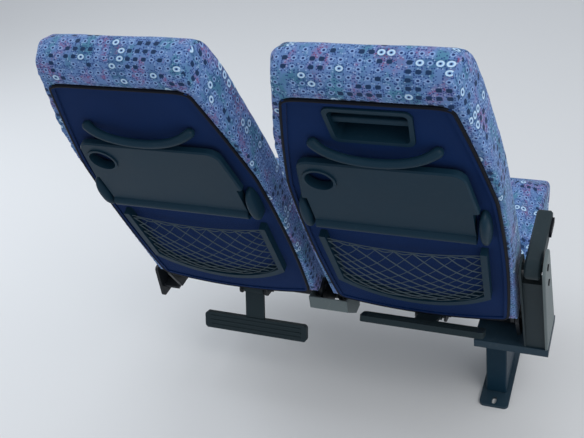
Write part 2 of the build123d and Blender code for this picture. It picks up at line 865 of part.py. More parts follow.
export_step(wall_bracket.part, "parts/wall_bracket.step")

# Leg head: channel that carries both tubes, with a wing for the armrest stand
with BuildPart() as leg_head:
    with BuildSketch(Plane.XY.offset(head_top_z - head_depth)):
        with Locations((0, (head_y0 + head_y1) / 2)):
            Rectangle(2 * head_half, head_y1 - head_y0)
        with Locations(((cover_x1 + 1) / 2, (head_y0 + wing_front_y) / 2)):
            Rectangle(cover_x1 + 1, wing_front_y - head_y0)
    extrude(amount=head_depth)
    offset(amount=-head_sheet, openings=leg_head.faces().sort_by(Axis.Z)[0])
leg_head.part.label = "leg_head"
export_step(leg_head.part, "parts/leg_head.step")

# Leg column with its slotted foot
leg_top_z = head_top_z - head_sheet
with BuildPart() as leg:
    with BuildSketch(side_plane(-leg_half)):
        Polygon(
            (leg_low_y0, foot_t),
            (leg_low_y1, foot_t),
            (leg_high_y1, leg_top_z),
            (leg_high_y0, leg_top_z),
            align=None,
        )
    extrude(amount=2 * leg_half)
    with BuildSketch(Plane.XY):
        RectangleRounded(foot_width, foot_length, foot_corner_r)
        with Locations((0, -foot_slot_y), (0, foot_slot_y)):
            SlotOverall(foot_slot_length, foot_slot_width, rotation=90, mode=Mode.SUBTRACT)
    extrude(amount=foot_t)
leg.part.label = "leg_column"
export_step(leg.part, "parts/leg_column.step")

# Leg cover: moulded sleeve round the column
with BuildPart() as leg_cover:
    with BuildSketch(side_plane(-leg_half - fit - leg_skin)):
        Polygon(
            (leg_low_y0 - leg_skin - 1, foot_t + 2),
            (leg_low_y1 + leg_skin + 1, foot_t + 2),
            (leg_high_y1 + 0.5, leg_cover_top_z),
            (leg_high_y0 - leg_skin, leg_cover_top_z),
            align=None,
        )
    extrude(amount=2 * (leg_half + fit + leg_skin))
    fillet([edge for edge in leg_cover.edges() if edge.length > 0.75 * leg_cover_top_z], leg_cover_r)
    with BuildSketch(side_plane(-leg_half - fit)):
        Polygon(
            (leg_low_y0 - fit, foot_t),
            (leg_low_y1 + fit, foot_t),
            (leg_high_y1 + fit + 0.1, leg_top_z),
            (leg_high_y0 - fit, leg_top_z),
            align=None,
        )
    extrude(amount=2 * (leg_half + fit), mode=Mode.SUBTRACT)
leg_cover.part.label = "leg_cover"
export_step(leg_cover.part, "parts/leg_cover.step")

# Armrest stand: plate up to the armrest pin with a lower housing
with BuildPart() as stand:
    with BuildSketch(side_plane(stand_x0)):
        with BuildLine():
            stand_top = (rest_pivot_y + stand_neck[0], rest_pivot_z + stand_neck[1])
            s1 = Line((stand_front_y, head_top_z), stand_top)
            s2 = ThreePointArc(
                s1 @ 1,
                (rest_pivot_y, rest_pivot_z + rest_r),
                (rest_pivot_y - rest_r, rest_pivot_z),
            )
            s3 = Line(s2 @ 1, (stand_rear_y, head_top_z))
            Line(s3 @ 1, s1 @ 0)
        make_face()
    extrude(amount=stand_t)
    with BuildSketch(side_plane(stand_x1)):
        Polygon(
            (stand_front_y - housing_set_in, head_top_z),
            (rest_pivot_y + housing_front[0], rest_pivot_z + housing_front[1]),
            (rest_pivot_y + housing_step[0], rest_pivot_z + housing_step[1]),
            (rest_pivot_y + housing_rear[0], rest_pivot_z + housing_rear[1]),
            (stand_rear_y + housing_set_in / 4, head_top_z),
            align=None,
        )
    extrude(amount=cover_x0 - stand_x1)
    with BuildSketch(side_plane(stand_x1)):
        with Locations((rest_pivot_y, rest_pivot_z)):
            Circle(rest_pin_r)
    extrude(amount=cover_x0 - stand_x1)
stand.part.label = "armrest_stand"
export_step(stand.part, "parts/armrest_stand.step")

# Side cover: moulded outer shell over the stand and the armrest hub
with BuildPart() as side_cover:
    with BuildSketch(side_plane(cover_x0)):
        with BuildLine():
            cover_top = (rest_pivot_y + cover_neck[0], rest_pivot_z + cover_neck[1])
            c1 = Line((stand_front_y + 4, head_top_z), cover_top)
            c2 = ThreePointArc(
                c1 @ 1,
                (rest_pivot_y, rest_pivot_z + rest_r + cover_crown),
                (rest_pivot_y - rest_r - cover_nape[0], rest_pivot_z + cover_nape[1]),
            )
            c3 = Line(c2 @ 1, (stand_rear_y - 2, head_top_z))
            Line(c3 @ 1, c1 @ 0)
        make_face()
    extrude(amount=cover_x1 - cover_x0)
    fillet(side_cover.faces().sort_by(Axis.X)[-1].edges(), cover_edge_r)
side_cover.part.label = "aisle_side_cover"
export_step(side_cover.part, "parts/aisle_side_cover.step")

# Armrest: round hub at the rear, rounded nose at the front, softened edges
with BuildPart() as armrest:
    with BuildSketch(side_plane(rest_inner_x)):
        with BuildLine():
            r1 = ThreePointArc(
                (rest_pivot_y, rest_pivot_z + rest_r),
                (rest_pivot_y - rest_r, rest_pivot_z),
                (rest_pivot_y, rest_pivot_z - rest_r),
            )
            r2 = Line(r1 @ 1, (rest_front_y - rest_nose, rest_pivot_z - rest_r + rest_taper))
            r3 = ThreePointArc(
                r2 @ 1,
                (rest_front_y, rest_pivot_z + rest_nose_rise),
                (rest_front_y - rest_nose, rest_pivot_z + rest_r),
            )
            Line(r3 @ 1, r1 @ 0)
        make_face()
    extrude(amount=rest_outer_x - rest_inner_x)
    chamfer(armrest.faces().filter_by(Axis.X).edges(), rest_edge_r)
    with BuildSketch(side_plane(rest_inner_x)):
        with Locations((rest_pivot_y, rest_pivot_z)):
            Circle(rest_pin_r + pin_play)
    extrude(amount=rest_outer_x - rest_inner_x, mode=Mode.SUBTRACT)
armrest.part.label = "armrest"
export_step(armrest.part, "parts/armrest.step")

# Recline control paddle on the armrest's outer side
with BuildPart() as recline_paddle:
    with BuildSketch(side_plane(rest_outer_x)):
        with Locations((rest_front_y - paddle_set_back, rest_pivot_z + paddle_rise)):
            RectangleRounded(paddle_length, paddle_height, paddle_corner_r)
    extrude(amount=paddle_t)
recline_paddle.part.label = "recline_paddle"
export_step(recline_paddle.part, "parts/recline_paddle.step")

# Screw caps on the side cover
caps = [
    {"name": "cover_cap_upper", "y": rest_pivot_y, "z": rest_pivot_z + cap_upper_rise},
    {"name": "cover_cap_lower", "y": rest_pivot_y + cap_lower[0], "z": rest_pivot_z + cap_lower[1]},
]
for row in caps:
    with BuildPart() as cap:
        with BuildSketch(side_plane(cover_x1)):
            with Locations((row["y"], row["z"])):
                Circle(cap_r)
        extrude(amount=cap_t)
    cap.part.label = row["name"]
    export_step(cap.part, "parts/" + row["name"] + ".step")

# Centre cover: moulded scoop behind the centre bracket, open at the top and the front
scoop_floor_z = cheek_foot_z - fit - cover_wall
scoop = [
    (cover_rear_y, cover_top_z),
    (cover_rear_y, cover_knee_z),
    (cover_floor_y0, scoop_floor_z),
    (cover_floor_y1, scoop_floor_z),
    (cover_floor_y1, cheek_foot_z - fit),
]
with BuildPart() as centre_cover:
    with BuildSketch(side_plane(centre_x - cover_half)):
        Polygon(*scoop, (cover_floor_y1, cover_front_z), (cover_front_y, cover_top_z), align=None)
    extrude(amount=2 * cover_half)
    with BuildSketch(side_plane(centre_x - cover_half + cover_wall)):
        Polygon(
            (cover_rear_y + cover_wall, cover_top_z + cover_wall),
            (cover_rear_y + cover_wall, cover_knee_z + 1.5),
            (cover_floor_y0 + 1, cheek_foot_z - fit),
            (cover_floor_y1 + cover_wall, cheek_foot_z - fit),
            (cover_floor_y1 + cover_wall, cover_top_z + cover_wall),
            align=None,
        )
    extrude(amount=2 * (cover_half - cover_wall), mode=Mode.SUBTRACT)
centre_cover.part.label = "centre_cover"
export_step(centre_cover.part, "parts/centre_cover.step")
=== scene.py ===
# %% [markdown]
# # Dressing a coach double seat
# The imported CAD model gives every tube, hinge, tray and bracket its true place.
# This lesson loads it, then adds what a coach trimmer adds: stuffed cushions in patterned
# pile cloth, piped edges, elastic nets, and paint and plastic with real grain.

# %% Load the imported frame
import bpy
import bmesh
import json
import numpy as np
from math import cos, radians, sin, pi
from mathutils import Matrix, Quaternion, Vector
from mathutils.bvhtree import BVHTree


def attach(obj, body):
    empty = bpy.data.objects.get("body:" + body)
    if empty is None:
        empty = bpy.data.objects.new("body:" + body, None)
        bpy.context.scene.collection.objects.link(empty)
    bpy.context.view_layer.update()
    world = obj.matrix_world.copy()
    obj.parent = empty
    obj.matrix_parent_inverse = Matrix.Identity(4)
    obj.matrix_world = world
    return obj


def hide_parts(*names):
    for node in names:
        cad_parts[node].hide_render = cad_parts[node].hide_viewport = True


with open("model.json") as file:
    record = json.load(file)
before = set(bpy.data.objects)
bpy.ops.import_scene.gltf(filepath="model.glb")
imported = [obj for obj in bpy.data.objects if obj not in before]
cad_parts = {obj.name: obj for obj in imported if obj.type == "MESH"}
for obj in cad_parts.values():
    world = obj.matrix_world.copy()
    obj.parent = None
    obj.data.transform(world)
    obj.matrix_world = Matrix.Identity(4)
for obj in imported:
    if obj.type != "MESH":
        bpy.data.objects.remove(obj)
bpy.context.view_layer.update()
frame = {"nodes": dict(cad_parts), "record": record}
nodes = frame["nodes"]
record = frame["record"]
scene = bpy.context.scene

# %% [markdown]
# ## Camera
# The photograph was taken from behind the seat and to its right, a little above its head.
# The camera stands at that same spot. It is only turned, rolled and given a longer lens, so that
# the whole seat is in the picture instead of its lower left corner. The roll keeps the crowns of
# the backs nearly level, as they are in the photograph.

# %% Camera at the photograph's station
station = Vector((0.269, -1.656, 1.720))
target = Vector((-0.4061, -0.2478, 0.6305))
photo_lens_mm = 27.1
zoom = 2.01
roll = radians(-9.0)
camera_data = bpy.data.cameras.new("seat_camera")
camera_data.sensor_width = 36.0
camera_data.lens = photo_lens_mm * zoom
camera = bpy.data.objects.new("seat_camera", camera_data)
camera.location = station
aimed = (target - station).to_track_quat("-Z", "Y")
camera.rotation_euler = (aimed @ Quaternion((0, 0, 1), roll)).to_euler()
scene.collection.objects.link(camera)
scene.camera = camera
print("camera", tuple(station), "lens", round(camera_data.lens, 1))

# %% [markdown]
# ## Node trees
# A finish or a surround is a small tree of nodes. Nodes could be placed by hand in the shader
# editor, but written down they can be made again and changed in one place. One helper adds a node,
# sets it up and wires its inputs.

# %% Small helper for node trees
def wire(tree, kind, inputs=None, **settings):
    made = tree.nodes.new(kind)
    for name, value in settings.items():
        setattr(made, name, value)
    for name, value in (inputs or {}).items():
        socket = made.inputs[name]
        if isinstance(value, bpy.types.NodeSocket):
            tree.links.new(value, socket)
        else:
            socket.default_value = value
    return made


def fresh_material(name):
    material = bpy.data.materials.new(name)
    material.use_nodes = True
    material.node_tree.nodes.clear()
    return material, material.node_tree


# %% [markdown]
# ## Floor and light
# A pale floor that leans up into a backdrop keeps the eye on the seat. By day a coach seat gets
# light from all round, so most of the light is a bright surround. Three broad lamps shape it: one
# on the aisle side, one on the window side and a weak one ahead. Broad lamps are chosen because
# small ones give hard shadows, and daylight indoors has soft ones.

# %% Floor and backdrop
floor_half = 6.0
backdrop_rise = (0, 1.5, 5)
floor_mesh = bpy.data.meshes.new("floor")
bm = bmesh.new()
bmesh.ops.create_grid(bm, x_segments=1, y_segments=1, size=floor_half)
far_edge = [edge for edge in bm.edges if all(v.co.y > 0 for v in edge.verts)]
risen = bmesh.ops.extrude_edge_only(bm, edges=far_edge)["geom"]
risen_verts = [g for g in risen if isinstance(g, bmesh.types.BMVert)]
bmesh.ops.translate(bm, verts=risen_verts, vec=backdrop_rise)
bm.to_mesh(floor_mesh)
bm.free()
floor = bpy.data.objects.new("floor", floor_mesh)
scene.collection.objects.link(floor)
floor_material, tree = fresh_material("pale_floor")
shader = wire(tree, "ShaderNodeBsdfPrincipled", {"Base Color": (0.74, 0.745, 0.75, 1), "Roughness": 0.85})
wire(tree, "ShaderNodeOutputMaterial", {"Surface": shader.outputs[0]})
floor_mesh.materials.append(floor_material)
print("floor faces", len(floor_mesh.polygons))

# %% Surround and lamps
world = bpy.data.worlds.new("surround")
scene.world = world
world.use_nodes = True
tree = world.node_tree
tree.nodes.clear()
surround = wire(tree, "ShaderNodeBackground", {"Color": (0.88, 0.93, 1.0, 1), "Strength": 0.64})
wire(tree, "ShaderNodeOutputWorld", {"Surface": surround.outputs[0]})


def area_lamp(name, place, aim, size, power, colour):
    lamp_data = bpy.data.lights.new(name, "AREA")
    lamp_data.shape = "RECTANGLE"
    lamp_data.size = size[0]
    lamp_data.size_y = size[1]
    lamp_data.energy = power
    lamp_data.color = colour
    lamp = bpy.data.objects.new(name, lamp_data)
    lamp.location = place
    lamp.rotation_euler = (Vector(aim) - Vector(place)).to_track_quat("-Z", "Y").to_euler()
    scene.collection.objects.link(lamp)


warm_white, sky_white, soft_white = (1.0, 0.98, 0.95), (0.9, 0.95, 1.0), (0.95, 0.98, 1.0)
area_lamp("aisle_lamp", (1.5, -1.2, 2.6), (-0.35, -0.2, 0.7), (1.6, 1.6), 30, warm_white)
area_lamp("window_lamp", (-2.6, 0.3, 2.0), (-0.4, 0.0, 0.6), (1.2, 2.4), 26, sky_white)
area_lamp("front_lamp", (-0.3, 1.1, 3.0), (-0.35, -0.4, 0.9), (2.0, 1.2), 10, soft_white)
scene.view_settings.view_transform = "Standard"

# %% [markdown]
# ## The back's own axes
# Both backs lean. It is easier to think across the seat (x), down the back (s) and forward of
# its rear face (v) than in world axes, so two helpers change between them.

# %% Back axes
back_lean = radians(22.0)
back_top = (-0.506, 1.119)
lean_sin, lean_cos = sin(back_lean), cos(back_lean)
seats = {"window": -0.595, "aisle": -0.140}


def back_point(x, s, v):
    rearward = back_top[0] + s * lean_sin + v * lean_cos
    upward = back_top[1] - s * lean_cos + v * lean_sin
    return Vector((x, rearward, upward))


def back_axes(points):
    dy = points[:, 1] - back_top[0]
    dz = points[:, 2] - back_top[1]
    return dy * lean_sin - dz * lean_cos, dy * lean_cos + dz * lean_sin


print("crown of the back", tuple(round(c, 3) for c in back_point(0, 0, 0)))

# %% [markdown]
# ## Stuffed pieces
# A foam cushion in a tight cover is fuller than its flat pattern and rounds over at every seam.
# It could be sculpted, but cloth simulation with air pressure swells it evenly by itself. The CAD
# solid is remeshed to small even quads, shrunk a little and blown up, and each point's travel is
# capped so that the pad stays in its place.

# %% Mesh helpers
def link_mesh(name, mesh):
    made = bpy.data.objects.new(name, mesh)
    scene.collection.objects.link(made)
    return made


def bake_modifiers(piece):
    graph = bpy.context.evaluated_depsgraph_get()
    baked = bpy.data.meshes.new_from_object(piece.evaluated_get(graph))
    piece.modifiers.clear()
    piece.data = baked


weld = 1e-5
pad_voxel = 0.007


def solid_copy(node, name):
    bm = bmesh.new()
    bm.from_mesh(nodes[node].data)
    bmesh.ops.remove_doubles(bm, verts=bm.verts, dist=weld)
    mesh = bpy.data.meshes.new(name)
    bm.to_mesh(mesh)
    bm.free()
    piece = link_mesh(name, mesh)
    remesh = piece.modifiers.new("even_quads", "REMESH")
    remesh.mode = "VOXEL"
    remesh.voxel_size = pad_voxel
    bake_modifiers(piece)
    return piece


def triples(collection, field):
    flat = np.empty(len(collection) * 3)
    collection.foreach_get(field, flat)
    return flat.reshape(-1, 3)


def coordinates(mesh):
    return triples(mesh.vertices, "co")


def normals(mesh):
    return triples(mesh.vertices, "normal")


def set_coordinates(mesh, points):
    mesh.vertices.foreach_set("co", points.reshape(-1))
    mesh.update()


print("pads are remeshed at mm", pad_voxel * 1000)

# %% Blow a pad up under a cap
air_pressure, air_frames, air_shrink = 4.0, 20, 0.0025
cloth_stiffness, cloth_bending = 20, 1.0


def inflate(piece, freedom, cap):
    rest, out = coordinates(piece.data), normals(piece.data)
    shrunk = rest - out * (air_shrink * freedom)[:, None]
    set_coordinates(piece.data, shrunk)
    cloth = piece.modifiers.new("air", "CLOTH")
    cloth.settings.use_pressure = True
    cloth.settings.uniform_pressure_force = air_pressure
    cloth.settings.effector_weights.gravity = 0
    cloth.settings.tension_stiffness = cloth_stiffness
    cloth.settings.compression_stiffness = cloth_stiffness
    cloth.settings.bending_stiffness = cloth_bending
    cloth.collision_settings.use_collision = False
    cloth.point_cache.frame_end = air_frames
    for step in range(1, air_frames + 1):
        scene.frame_set(step)
    graph = bpy.context.evaluated_depsgraph_get()
    moved = coordinates(piece.evaluated_get(graph).data)
    piece.modifiers.clear()
    scene.frame_set(1)
    travel = moved - shrunk
    inward = np.minimum((travel * out).sum(axis=1), 0)
    travel -= out * inward[:, None]
    length = np.linalg.norm(travel, axis=1)
    limit = cap * freedom
    scale = np.where(length > limit, limit / np.maximum(length, 1e-9), 1.0)
    set_coordinates(piece.data, shrunk + travel * scale[:, None])
    print(piece.name, "mean travel mm", round(float((length * scale).mean() * 1000), 2))


print("cloth pressure", air_pressure, "over frames", air_frames)

# %% Sides, finer mesh and finish of a stuffed piece
def hold_sides(piece, centre_x, half):
    points = coordinates(piece.data)
    points[:, 0] = centre_x + np.clip(points[:, 0] - centre_x, -half, half)
    set_coordinates(piece.data, points)


def finer(piece):
    smooth = piece.modifiers.new("finer", "SUBSURF")
    smooth.levels = 1
    smooth.render_levels = 1
    bake_modifiers(piece)
    for polygon in piece.data.polygons:
        polygon.use_smooth = True


def dress_pad(piece, node, body):
    piece.data.materials.clear()
    piece.data.materials.append(moquette)
    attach(piece, body)
    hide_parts(node)
    new, old = coordinates(piece.data), coordinates(nodes[node].data)
    low, high = new.min(axis=0) - old.min(axis=0), new.max(axis=0) - old.max(axis=0)
    print(piece.name, "box change mm", [round(float(c) * 1000, 1) for c in (*low, *high)])
    print(piece.name, "triangles", sum(len(p.vertices) - 2 for p in piece.data.polygons))


print("stuffed pieces to come:", [side + part for side in seats for part in ("_back_pad", "_cushion")])

# %% [markdown]
# ## Laying the pattern
# A moquette cover is cut from flat cloth, so its pattern runs flat over each face and turns over
# the crown. An automatic unwrap would cut it at odd places, so the UV map is written from the
# points themselves, in metres: across the seat, and down the rear or the front. Each seat's cover
# comes from another place on the bolt of cloth, so the map is shifted by the seat.

# %% Cloth UV in metres
bolt_shift = 7.3
front_facing = 0.3


def lay_pattern(piece, centre_x, leaning):
    mesh = piece.data
    layer = mesh.uv_layers.new(name="cloth")
    points = coordinates(mesh)
    if leaning:
        down, forward = back_axes(points)
    else:
        down, forward = -points[:, 1], points[:, 2]
    across = points[:, 0] - centre_x
    corner = np.empty(len(mesh.loops), dtype=np.int32)
    mesh.loops.foreach_get("vertex_index", corner)
    totals = np.empty(len(mesh.polygons), dtype=np.int32)
    mesh.polygons.foreach_get("loop_total", totals)
    per_corner = np.repeat(triples(mesh.polygons, "normal"), totals, axis=0)
    if leaning:
        n_forward = per_corner[:, 1] * lean_cos + per_corner[:, 2] * lean_sin
        n_down = per_corner[:, 1] * lean_sin - per_corner[:, 2] * lean_cos
    else:
        n_forward, n_down = per_corner[:, 2], -per_corner[:, 1]
    n_across = per_corner[:, 0]
    x, s, v = across[corner], down[corner], forward[corner]
    on_side = np.abs(n_across) > np.maximum(np.abs(n_forward), np.abs(n_down))
    on_front = (n_forward > front_facing) & ~on_side
    u_value = np.where(on_side, x + np.sign(x) * v, x)
    v_value = np.where(on_side, s, np.where(on_front, -s - v, s - v))
    pairs = np.stack([u_value + bolt_shift * centre_x, v_value], axis=1).astype(np.float32)
    layer.data.foreach_set("uv", pairs.reshape(-1))


print("covers are shifted along the bolt by m", [round(bolt_shift * x, 2) for x in seats.values()])

# %% [markdown]
# ## Moquette
# Coach moquette is a cut pile with one motif in every cell of a grid: a small dark dot, a big
# dark block or a pale ring. The fraction of the UV gives the place in a cell and its floor gives
# the cell. A slow noise on the floor gathers blocks and rings into clusters, and a random number
# for each cell breaks the clusters up. Fine specks of thread lie between the motifs. A picture
# could carry such a print too, but nodes stay sharp from near by and never repeat.

# %% Shader arithmetic
def sums(tree, operation, a, b):
    return wire(tree, "ShaderNodeMath", {0: a, 1: b}, operation=operation).outputs[0]


def both(tree, a, b):
    return sums(tree, "MULTIPLY", a, b)


def unless(tree, a, b):
    return both(tree, a, sums(tree, "SUBTRACT", 1.0, b))


def vectors(tree, operation, a, b=None):
    sockets = {0: a} if b is None else {0: a, 1: b}
    made = wire(tree, "ShaderNodeVectorMath", sockets, operation=operation)
    return made.outputs["Value" if operation == "LENGTH" else "Vector"]


def ramp(tree, value, **limits):
    sockets = {name.replace("_", " ").title(): number for name, number in limits.items()}
    return wire(tree, "ShaderNodeMapRange", {"Value": value, **sockets})


def mix(tree, factor, under, over):
    made = wire(tree, "ShaderNodeMix", {"Factor": factor}, data_type="RGBA")
    for socket, value in ((made.inputs[6], under), (made.inputs[7], over)):
        if isinstance(value, bpy.types.NodeSocket):
            tree.links.new(value, socket)
        else:
            socket.default_value = (*value, 1)
    return made.outputs[2]


def painted(tree, material, bump_height, bump, **sockets):
    bumped = wire(tree, "ShaderNodeBump", {"Height": bump_height, "Strength": bump[0], "Distance": bump[1]})
    named = {name.replace("_", " ").title().replace("Ior", "IOR"): value for name, value in sockets.items()}
    shader = wire(tree, "ShaderNodeBsdfPrincipled", {"Normal": bumped.outputs[0], **named})
    wire(tree, "ShaderNodeOutputMaterial", {"Surface": shader.outputs[0]})
    return material


print("shader helpers ready, materials so far", len(bpy.data.materials))

# %% Motif grid
motif_pitch = (0.0156, 0.0186)


def motif_grid(tree, uv):
    scaled = vectors(tree, "MULTIPLY", uv, (1 / motif_pitch[0], 1 / motif_pitch[1], 0))
    cell = vectors(tree, "FLOOR", scaled)
    place = vectors(tree, "FRACTION", scaled)
    middle = vectors(tree, "SUBTRACT", place, (0.5, 0.5, 0))
    metres = vectors(tree, "MULTIPLY", middle, (*motif_pitch, 0))
    round_off = vectors(tree, "LENGTH", metres)
    axes = wire(tree, "ShaderNodeSeparateXYZ", {0: vectors(tree, "ABSOLUTE", metres)})
    square_off = sums(tree, "MAXIMUM", axes.outputs[0], axes.outputs[1])
    halves = [both(tree, off, 0.5) for off in (round_off, square_off)]
    return round_off, sums(tree, "ADD", *halves), cell


def inside(tree, distance, radius, soft):
    mask = ramp(tree, distance, from_min=radius + soft, from_max=radius - soft)
    mask.interpolation_type = "SMOOTHSTEP"
    return mask.outputs[0]


print("a motif every mm", [round(step * 1000, 1) for step in motif_pitch])

# %% Which motif a cell takes
def patch(tree, cell, scale, seed):
    sockets = {"Vector": cell, "W": seed, "Scale": scale, "Detail": 1.0}
    return wire(tree, "ShaderNodeTexNoise", sockets, noise_dimensions="4D").outputs[0]


def chance(tree, cell, share, seed):
    moved = vectors(tree, "ADD", cell, (seed, seed * 0.37, 0))
    drawn = wire(tree, "ShaderNodeTexWhiteNoise", {"Vector": moved}, noise_dimensions="2D")
    return sums(tree, "LESS_THAN", drawn.outputs["Value"], share)


ring_share, block_share, dot_share = 0.70, 0.8, 0.78
ring_level, block_level = 0.59, 0.54
ring_cluster, block_cluster = 0.34, 0.26
ring_seed, block_seed = 3.0, 8.0
ring_draw, block_draw, dot_draw = 11.0, 23.0, 31.0


def motif_choice(tree, cell):
    ring_patch = patch(tree, cell, ring_cluster, ring_seed)
    deep = ramp(tree, ring_patch, from_min=0.54, from_max=0.62, to_max=0.6).outputs[0]
    ring_here = sums(tree, "GREATER_THAN", ring_patch, ring_level)
    ringed = both(tree, ring_here, chance(tree, cell, ring_share, ring_draw))
    block_patch = patch(tree, cell, block_cluster, block_seed)
    block_here = sums(tree, "GREATER_THAN", block_patch, block_level)
    blocked = unless(tree, both(tree, block_here, chance(tree, cell, block_share, block_draw)), ringed)
    dotted = unless(tree, unless(tree, chance(tree, cell, dot_share, dot_draw), ringed), blocked)
    return deep, ringed, blocked, dotted


print("share of cells with a dot", dot_share)

# %% Threads of the ground and the specks
threads = {
    "blue": (0.120, 0.220, 0.455), "teal": (0.075, 0.215, 0.345), "rose": (0.165, 0.190, 0.410),
    "deep": (0.030, 0.105, 0.210), "navy_speck": (0.018, 0.050, 0.190),
    "rose_speck": (0.20, 0.045, 0.120), "pale_speck": (0.34, 0.48, 0.72),
    "halo": (0.235, 0.375, 0.660), "dot": (0.008, 0.024, 0.120), "block": (0.012, 0.036, 0.100),
    "ring": (0.48, 0.66, 0.84), "ring_inner": (0.17, 0.32, 0.60), "ring_dot": (0.006, 0.014, 0.070),
}
tint_stretch, tint_scale = (1.7, 0.8, 1), 17.0
speck_scale, speck_r, speck_soft, speck_clear = 270.0, 0.40, 0.10, 0.0046


def dyed_ground(tree, uv):
    tall = vectors(tree, "MULTIPLY", uv, tint_stretch)
    tint = wire(tree, "ShaderNodeTexNoise", {"Vector": tall, "Scale": tint_scale, "Detail": 3.0}).outputs[0]
    teal = ramp(tree, tint, from_min=0.52, from_max=0.64).outputs[0]
    rose = ramp(tree, tint, from_min=0.46, from_max=0.38).outputs[0]
    ground = mix(tree, teal, threads["blue"], threads["teal"])
    return mix(tree, rose, ground, threads["rose"]), rose


def speckled(tree, uv, round_off, rose, colour):
    sockets = {"Vector": uv, "Scale": speck_scale, "Randomness": 0.9}
    specks = wire(tree, "ShaderNodeTexVoronoi", sockets, voronoi_dimensions="2D")
    hue = wire(tree, "ShaderNodeSeparateColor", {0: specks.outputs["Color"]}).outputs[0]
    clear = sums(tree, "GREATER_THAN", round_off, speck_clear)
    speck = both(tree, inside(tree, specks.outputs["Distance"], speck_r, speck_soft), clear)
    navy = both(tree, speck, sums(tree, "GREATER_THAN", hue, 0.60))
    pink = both(tree, both(tree, speck, rose), sums(tree, "LESS_THAN", hue, 0.42))
    pale = both(tree, speck, sums(tree, "LESS_THAN", hue, 0.12))
    for mask, strength, thread in (
            (navy, 0.95, "navy_speck"), (pink, 0.8, "rose_speck"), (pale, 0.6, "pale_speck")):
        colour = mix(tree, both(tree, mask, strength), colour, threads[thread])
    return colour


print("threads", sorted(threads))

# %% Moquette material
halo_r, halo_soft, halo_strength = 0.0048, 0.0009, 0.8
dot_r, block_r = 0.0024, 0.0048
ring_r, ring_inner_r, ring_dot_r = 0.0064, 0.0036, 0.0020
pile_scale, pile_depth = 1300.0, 0.001


def moquette_material():
    material, tree = fresh_material("blue_moquette")
    uv = wire(tree, "ShaderNodeUVMap", uv_map="cloth").outputs[0]
    ground, rose = dyed_ground(tree, uv)
    round_off, block_off, cell = motif_grid(tree, uv)
    deep, ringed, blocked, dotted = motif_choice(tree, cell)
    ground = mix(tree, deep, ground, threads["deep"])
    colour = speckled(tree, uv, round_off, rose, ground)

    halo = both(tree, inside(tree, round_off, halo_r, halo_soft), dotted)
    colour = mix(tree, both(tree, halo, halo_strength), colour, threads["halo"])
    for off, radius, soft, cells, thread in (
            (round_off, dot_r, 0.0006, dotted, "dot"),
            (block_off, block_r, 0.0006, blocked, "block"),
            (round_off, ring_r, 0.0007, ringed, "ring"),
            (round_off, ring_inner_r, 0.0006, ringed, "ring_inner"),
            (round_off, ring_dot_r, 0.0005, ringed, "ring_dot")):
        colour = mix(tree, both(tree, inside(tree, off, radius, soft), cells), colour, threads[thread])

    pile = wire(tree, "ShaderNodeTexNoise", {"Vector": uv, "Scale": pile_scale, "Detail": 2.0}).outputs[0]
    shade = ramp(tree, pile, to_min=0.80, to_max=1.16).outputs[0]
    lit = wire(tree, "ShaderNodeHueSaturation", {"Value": shade, "Color": colour}).outputs[0]
    rough = ramp(tree, pile, to_min=0.78, to_max=0.98).outputs[0]
    return painted(tree, material, pile, (0.35, pile_depth), base_color=lit, roughness=rough,
                   sheen_weight=0.12, sheen_roughness=0.4, specular_ior_level=0.15)


moquette = moquette_material()
print("moquette nodes", len(moquette.node_tree.nodes))

# %% [markdown]
# ## Plain finishes
# Moulded plastic has a fine spark-eroded grain, powder coat a soft orange peel, and the board
# cloth a visible weave. Noise on Object coordinates is chosen over pictures: it stays on the piece
# in every pose, and a fine noise gives the grain, a coarse one the cloudy tone and gloss, and a
# third one the paler, scuffed places.

# %% Grainy plastics and paint
cloud_scale, dust_scale = 7.0, 60.0
darker, paler, gloss_swing = 0.86, 1.14, 0.08


def grained(name, colour, rough, grain_scale, grain_depth, worn, coat=0.0):
    material, tree = fresh_material(name)
    place = wire(tree, "ShaderNodeTexCoord").outputs["Object"]
    cloudy = {"Vector": place, "Scale": cloud_scale, "Detail": 4.0}
    cloud = wire(tree, "ShaderNodeTexNoise", cloudy).outputs[0]
    grain = wire(tree, "ShaderNodeTexNoise", {"Vector": place, "Scale": grain_scale, "Detail": 2.0})
    dusty = {"Vector": place, "Scale": dust_scale, "Detail": 6.0, "Roughness": 0.7}
    dust = wire(tree, "ShaderNodeTexNoise", dusty)
    base = mix(tree, cloud, tuple(c * darker for c in colour), tuple(c * paler for c in colour))
    scuff = ramp(tree, dust.outputs[0], from_min=0.56, from_max=0.78, to_max=0.5)
    base = mix(tree, scuff.outputs[0], base, worn)
    gloss = ramp(tree, cloud, to_min=rough - gloss_swing, to_max=rough + gloss_swing).outputs[0]
    return painted(tree, material, grain.outputs[0], (0.5, grain_depth), base_color=base, roughness=gloss,
                   coat_weight=coat, coat_roughness=0.35, specular_ior_level=0.12)


print("grain helper ready for", sorted({row["material_slot"] for row in record["subparts"]}))

